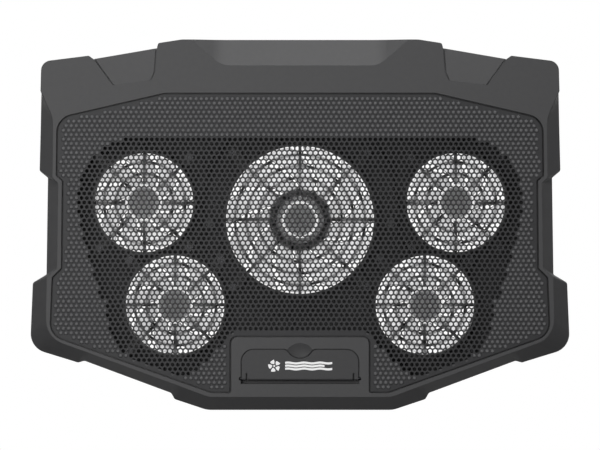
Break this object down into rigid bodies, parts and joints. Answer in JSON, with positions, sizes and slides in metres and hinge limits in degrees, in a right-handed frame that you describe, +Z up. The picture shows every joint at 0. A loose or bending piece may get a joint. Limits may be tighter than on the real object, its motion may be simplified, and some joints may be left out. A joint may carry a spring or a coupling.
{
  "type": "laptop cooling pad",
  "caption": "Flat laptop cooling pad with a perforated grille deck, a large centre fan and small corner fans, a flip-up laptop stop and folding rear legs.",
  "frame": {"origin": "on the table under the middle of the pad's outline", "axes": "+X along the pad, +Y to its rear edge, +Z up"},
  "size_m": [0.4198, 0.2884, 0.034],
  "materials": {
    "shell": "fine-grained dark grey ABS",
    "tray": "fine-grained black ABS",
    "grille": "black powder-coated steel sheet",
    "flap": "fine-grained dark grey ABS",
    "frame": "black PBT",
    "rotor": "milky translucent plastic",
    "yoke": "plated steel",
    "magnet": "ferrite",
    "steel": "ground steel",
    "bronze": "sintered bronze",
    "winding": "enamelled copper on an iron core",
    "leg": "black ABS",
    "rubber": "black rubber",
    "panel": "black ABS",
    "board": "solder mask",
    "socket": "plated steel",
    "pot": "moulded",
    "dial": "black ABS",
    "button": "black ABS",
    "screw": "black zinc",
    "lead": "PVC sleeve",
    "plug": "natural nylon"
  },
  "bodies": {
    "base": {"top_cover": "shell", "bottom_cover": "tray", "mesh_panel": "grille", "stop_flap_pins": "steel", "leg_pins": "steel", "control_panel": "panel", "control_board": "board", "usb_sockets": "socket", "speed_potentiometer": "pot", "power_switch": "pot", "rubber_feet": "rubber", "case_screws": "screw", "fan_screws": "screw", "fan_leads": "lead", "fan_plugs": "plug", "centre_fan_frame": "frame", "centre_fan_bearing": "bronze", "centre_fan_stator": "winding", "rear_left_fan_frame": "frame", "rear_left_fan_bearing": "bronze", "rear_left_fan_stator": "winding", "rear_right_fan_frame": "frame", "rear_right_fan_bearing": "bronze", "rear_right_fan_stator": "winding", "front_left_fan_frame": "frame", "front_left_fan_bearing": "bronze", "front_left_fan_stator": "winding", "front_right_fan_frame": "frame", "front_right_fan_bearing": "bronze", "front_right_fan_stator": "winding"},
    "laptop_stop": {"stop_flap": "flap"},
    "left_leg": {"leg_left": "leg", "leg_tip_left": "rubber"},
    "right_leg": {"leg_right": "leg", "leg_tip_right": "rubber"},
    "dial": {"speed_dial": "dial"},
    "button": {"power_button": "button"},
    "centre_rotor": {"centre_fan_impeller": "rotor", "centre_fan_yoke": "yoke", "centre_fan_magnet": "magnet", "centre_fan_shaft": "steel"},
    "rear_left_rotor": {"rear_left_fan_impeller": "rotor", "rear_left_fan_yoke": "yoke", "rear_left_fan_magnet": "magnet", "rear_left_fan_shaft": "steel"},
    "rear_right_rotor": {"rear_right_fan_impeller": "rotor", "rear_right_fan_yoke": "yoke", "rear_right_fan_magnet": "magnet", "rear_right_fan_shaft": "steel"},
    "front_left_rotor": {"front_left_fan_impeller": "rotor", "front_left_fan_yoke": "yoke", "front_left_fan_magnet": "magnet", "front_left_fan_shaft": "steel"},
    "front_right_rotor": {"front_right_fan_impeller": "rotor", "front_right_fan_yoke": "yoke", "front_right_fan_magnet": "magnet", "front_right_fan_shaft": "steel"}
  },
  "joints": [
    {"name": "stop_hinge", "type": "hinge", "parent": "base", "child": "laptop_stop", "pos_m": [0, -0.1194, 0.03225], "axis": [1, 0, 0], "range_deg": [0, 100]},
    {"name": "left_leg_hinge", "type": "hinge", "parent": "base", "child": "left_leg", "pos_m": [-0.128, 0.11315, 0.0049], "axis": [1, 0, 0], "range_deg": [0, 100]},
    {"name": "right_leg_hinge", "type": "hinge", "parent": "base", "child": "right_leg", "pos_m": [0.128, 0.11315, 0.0049], "axis": [1, 0, 0], "range_deg": [0, 100]},
    {"name": "dial_turn", "type": "hinge", "parent": "base", "child": "dial", "pos_m": [0.022, 0.14, 0.0164], "axis": [0, -1, 0], "range_deg": [0, 270]},
    {"name": "button_press", "type": "slide", "parent": "base", "child": "button", "axis": [0, -1, 0], "range_m": [0, 0.001], "stiffness_N_per_m": 800},
    {"name": "centre_fan_spin", "type": "hinge", "parent": "base", "child": "centre_rotor", "pos_m": [0, 0.0041, 0.012], "axis": [0, 0, 1], "continuous": true},
    {"name": "rear_left_fan_spin", "type": "hinge", "parent": "base", "child": "rear_left_rotor", "pos_m": [-0.1221, 0.0175, 0.012], "axis": [0, 0, 1], "continuous": true},
    {"name": "rear_right_fan_spin", "type": "hinge", "parent": "base", "child": "rear_right_rotor", "pos_m": [0.1221, 0.0175, 0.012], "axis": [0, 0, 1], "continuous": true},
    {"name": "front_left_fan_spin", "type": "hinge", "parent": "base", "child": "front_left_rotor", "pos_m": [-0.0979, -0.0627, 0.012], "axis": [0, 0, 1], "continuous": true},
    {"name": "front_right_fan_spin", "type": "hinge", "parent": "base", "child": "front_right_rotor", "pos_m": [0.0979, -0.0627, 0.012], "axis": [0, 0, 1], "continuous": true}
  ]
}
